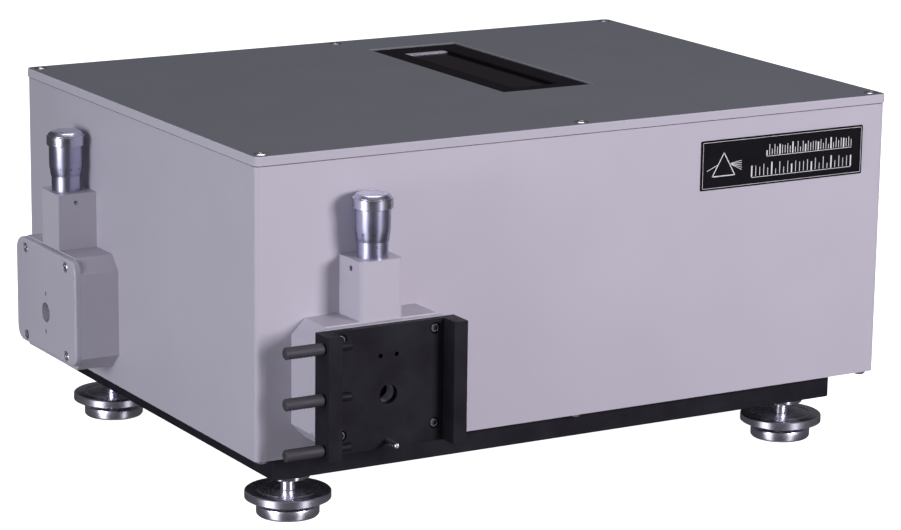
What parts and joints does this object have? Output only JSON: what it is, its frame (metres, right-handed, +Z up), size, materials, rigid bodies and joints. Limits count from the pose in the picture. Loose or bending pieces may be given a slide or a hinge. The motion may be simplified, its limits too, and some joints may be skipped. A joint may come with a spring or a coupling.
{
  "type": "grating monochromator",
  "caption": "Bench-top grating monochromator: closed case with lid window, two micrometer slit units, accessory holder and levelling feet, with its optics and sine drive inside.",
  "frame": {"origin": "centre of the bounding box at the surface the feet stand on", "axes": "+X along the front wall towards the nameplate end, +Y from the front wall to the rear, +Z up"},
  "size_m": [0.4272, 0.3384, 0.2009],
  "materials": {
    "grey_paint": "satin",
    "lid_paint": "satin",
    "black_anodised": "satin",
    "bare_aluminium": "machined",
    "satin_chrome": "satin",
    "polished_steel": "polished",
    "black_oxide": "black oxide",
    "zinc_screw": "bright zinc",
    "gasket": "matte",
    "dark_glass": "polished",
    "mirror_glass": "polished",
    "grating_glass": "ruled",
    "black_plastic": "moulded",
    "nylon": "moulded",
    "nameplate_black": "screen printed",
    "scale_white": "painted"
  },
  "bodies": {
    "case": {"accessory_holder": "black_anodised", "base_plate": "black_anodised", "case_shell": "grey_paint", "concave_mirrors": "mirror_glass", "corner_posts": "bare_aluminium", "deck_posts": "bare_aluminium", "drive_deck": "black_anodised", "entrance_cover": "grey_paint", "entrance_housing": "grey_paint", "entrance_sleeve": "satin_chrome", "entrance_tower": "grey_paint", "exit_cover": "grey_paint", "exit_housing": "grey_paint", "exit_sleeve": "satin_chrome", "exit_tower": "grey_paint", "fold_mirror": "mirror_glass", "foot_bushings": "polished_steel", "grating_bearings": "bare_aluminium", "guide_rods": "polished_steel", "jaw_rails": "bare_aluminium", "lid": "lid_paint", "lid_gasket": "gasket", "lid_screws": "zinc_screw", "locating_pin": "polished_steel", "mirror_mounts": "black_anodised", "nameplate": "nameplate_black", "rear_connectors": "black_plastic", "screw_bearings": "bare_aluminium", "slit_screws": "zinc_screw", "stepper_motor": "black_plastic", "underside_screws": "zinc_screw", "wavelength_scale": "scale_white", "window_frame": "black_anodised", "window_glass": "dark_glass"},
    "entrance_spindle": {"entrance_spindle": "polished_steel"},
    "entrance_thimble": {"entrance_thimble": "satin_chrome"},
    "entrance_jaw_left": {"entrance_jaw_left": "black_oxide"},
    "entrance_jaw_right": {"entrance_jaw_right": "black_oxide"},
    "exit_spindle": {"exit_spindle": "polished_steel"},
    "exit_thimble": {"exit_thimble": "satin_chrome"},
    "exit_jaw_left": {"exit_jaw_left": "black_oxide"},
    "exit_jaw_right": {"exit_jaw_right": "black_oxide"},
    "clamp_tip_upper": {"clamp_tip_upper": "nylon"},
    "thumbscrew_upper": {"thumbscrew_upper": "black_oxide"},
    "clamp_tip_middle": {"clamp_tip_middle": "nylon"},
    "thumbscrew_middle": {"thumbscrew_middle": "black_oxide"},
    "clamp_tip_lower": {"clamp_tip_lower": "nylon"},
    "thumbscrew_lower": {"thumbscrew_lower": "black_oxide"},
    "foot_pad_front_left": {"foot_pad_front_left": "polished_steel"},
    "foot_wheel_front_left": {"foot_wheel_front_left": "polished_steel"},
    "foot_pad_front_right": {"foot_pad_front_right": "polished_steel"},
    "foot_wheel_front_right": {"foot_wheel_front_right": "polished_steel"},
    "foot_pad_rear_left": {"foot_pad_rear_left": "polished_steel"},
    "foot_wheel_rear_left": {"foot_wheel_rear_left": "polished_steel"},
    "foot_pad_rear_right": {"foot_pad_rear_right": "polished_steel"},
    "foot_wheel_rear_right": {"foot_wheel_rear_right": "polished_steel"},
    "lead_screw": {"lead_screw": "polished_steel"},
    "carriage": {"carriage": "bare_aluminium"},
    "grating_turntable": {"grating_table": "bare_aluminium", "grating": "grating_glass"}
  },
  "joints": [
    {"name": "entrance_spindle_slide", "type": "slide", "parent": "case", "child": "entrance_spindle", "axis": [0, 0, -1], "range_m": [-0.0005, 0.0015]},
    {"name": "entrance_thimble_turn", "type": "hinge", "parent": "entrance_spindle", "child": "entrance_thimble", "pos_m": [-0.19962, 0.08325, 0.165], "axis": [0, 0, -1], "range_deg": [-360.1, 1080.1]},
    {"name": "entrance_jaw_left_slide", "type": "slide", "parent": "case", "child": "entrance_jaw_left", "axis": [0, 1, 0], "range_m": [-0.00025, 0.00075]},
    {"name": "entrance_jaw_right_slide", "type": "slide", "parent": "case", "child": "entrance_jaw_right", "axis": [0, -1, 0], "range_m": [-0.00025, 0.00075]},
    {"name": "exit_spindle_slide", "type": "slide", "parent": "case", "child": "exit_spindle", "axis": [0, 0, -1], "range_m": [-0.0005, 0.0015]},
    {"name": "exit_thimble_turn", "type": "hinge", "parent": "exit_spindle", "child": "exit_thimble", "pos_m": [-0.12562, -0.13925, 0.165], "axis": [0, 0, -1], "range_deg": [-360.1, 1080.1]},
    {"name": "exit_jaw_left_slide", "type": "slide", "parent": "case", "child": "exit_jaw_left", "axis": [-1, 0, 0], "range_m": [-0.00025, 0.00075]},
    {"name": "exit_jaw_right_slide", "type": "slide", "parent": "case", "child": "exit_jaw_right", "axis": [1, 0, 0], "range_m": [-0.00025, 0.00075]},
    {"name": "clamp_tip_upper_slide", "type": "slide", "parent": "case", "child": "clamp_tip_upper", "axis": [1, 0, 0], "range_m": [-0.0075, 0.0005]},
    {"name": "thumbscrew_upper_turn", "type": "hinge", "parent": "clamp_tip_upper", "child": "thumbscrew_upper", "pos_m": [-0.17763, -0.16275, 0.1055], "axis": [1, 0, 0], "range_deg": [-5400.5, 360.5]},
    {"name": "clamp_tip_middle_slide", "type": "slide", "parent": "case", "child": "clamp_tip_middle", "axis": [1, 0, 0], "range_m": [-0.0075, 0.0005]},
    {"name": "thumbscrew_middle_turn", "type": "hinge", "parent": "clamp_tip_middle", "child": "thumbscrew_middle", "pos_m": [-0.17763, -0.16275, 0.0785], "axis": [1, 0, 0], "range_deg": [-5400.5, 360.5]},
    {"name": "clamp_tip_lower_slide", "type": "slide", "parent": "case", "child": "clamp_tip_lower", "axis": [1, 0, 0], "range_m": [-0.0075, 0.0005]},
    {"name": "thumbscrew_lower_turn", "type": "hinge", "parent": "clamp_tip_lower", "child": "thumbscrew_lower", "pos_m": [-0.17763, -0.16275, 0.0515], "axis": [1, 0, 0], "range_deg": [-5400.5, 360.5]},
    {"name": "foot_front_left_slide", "type": "slide", "parent": "case", "child": "foot_pad_front_left", "axis": [0, 0, 1], "range_m": [-0.005, 0.005]},
    {"name": "foot_front_left_turn", "type": "hinge", "parent": "foot_pad_front_left", "child": "foot_wheel_front_left", "pos_m": [-0.15712, -0.10475, 0.0115], "axis": [0, 0, 1], "range_deg": [-1440.5, 1440.5]},
    {"name": "foot_front_right_slide", "type": "slide", "parent": "case", "child": "foot_pad_front_right", "axis": [0, 0, 1], "range_m": [-0.005, 0.005]},
    {"name": "foot_front_right_turn", "type": "hinge", "parent": "foot_pad_front_right", "child": "foot_wheel_front_right", "pos_m": [0.16387, -0.10475, 0.0115], "axis": [0, 0, 1], "range_deg": [-1440.5, 1440.5]},
    {"name": "foot_rear_left_slide", "type": "slide", "parent": "case", "child": "foot_pad_rear_left", "axis": [0, 0, 1], "range_m": [-0.005, 0.005]},
    {"name": "foot_rear_left_turn", "type": "hinge", "parent": "foot_pad_rear_left", "child": "foot_wheel_rear_left", "pos_m": [-0.15712, 0.11625, 0.0115], "axis": [0, 0, 1], "range_deg": [-1440.5, 1440.5]},
    {"name": "foot_rear_right_slide", "type": "slide", "parent": "case", "child": "foot_pad_rear_right", "axis": [0, 0, 1], "range_m": [-0.005, 0.005]},
    {"name": "foot_rear_right_turn", "type": "hinge", "parent": "foot_pad_rear_right", "child": "foot_wheel_rear_right", "pos_m": [0.16387, 0.11625, 0.0115], "axis": [0, 0, 1], "range_deg": [-1440.5, 1440.5]},
    {"name": "carriage_slide", "type": "slide", "parent": "case", "child": "carriage", "axis": [0, 1, 0], "range_m": [-0.022, 0.022]},
    {"name": "lead_screw_turn", "type": "hinge", "parent": "case", "child": "lead_screw", "pos_m": [0.05287, 0.04325, 0.15], "axis": [0, 1, 0], "range_deg": [-3960.5, 3960.5]},
    {"name": "grating_turn", "type": "hinge", "parent": "case", "child": "grating_turntable", "pos_m": [-0.08513, -0.00875, 0.075], "axis": [0, 0, 1], "range_deg": [-9.61, 9.61]}
  ],
  "couplings": [
    {"joint": "entrance_thimble_turn", "follows": "entrance_spindle_slide", "rad_per_m": 12566},
    {"joint": "entrance_jaw_left_slide", "follows": "entrance_spindle_slide", "ratio": 0.5},
    {"joint": "entrance_jaw_right_slide", "follows": "entrance_spindle_slide", "ratio": 0.5},
    {"joint": "exit_thimble_turn", "follows": "exit_spindle_slide", "rad_per_m": 12566},
    {"joint": "exit_jaw_left_slide", "follows": "exit_spindle_slide", "ratio": 0.5},
    {"joint": "exit_jaw_right_slide", "follows": "exit_spindle_slide", "ratio": 0.5},
    {"joint": "thumbscrew_upper_turn", "follows": "clamp_tip_upper_slide", "rad_per_m": 12566},
    {"joint": "thumbscrew_middle_turn", "follows": "clamp_tip_middle_slide", "rad_per_m": 12566},
    {"joint": "thumbscrew_lower_turn", "follows": "clamp_tip_lower_slide", "rad_per_m": 12566},
    {"joint": "foot_front_left_turn", "follows": "foot_front_left_slide", "rad_per_m": 5026.5},
    {"joint": "foot_front_right_turn", "follows": "foot_front_right_slide", "rad_per_m": 5026.5},
    {"joint": "foot_rear_left_turn", "follows": "foot_rear_left_slide", "rad_per_m": 5026.5},
    {"joint": "foot_rear_right_turn", "follows": "foot_rear_right_slide", "rad_per_m": 5026.5},
    {"joint": "lead_screw_turn", "follows": "carriage_slide", "rad_per_m": -3141.6},
    {"joint": "grating_turn", "follows": "carriage_slide", "rad_per_m": 7.6193}
  ]
}
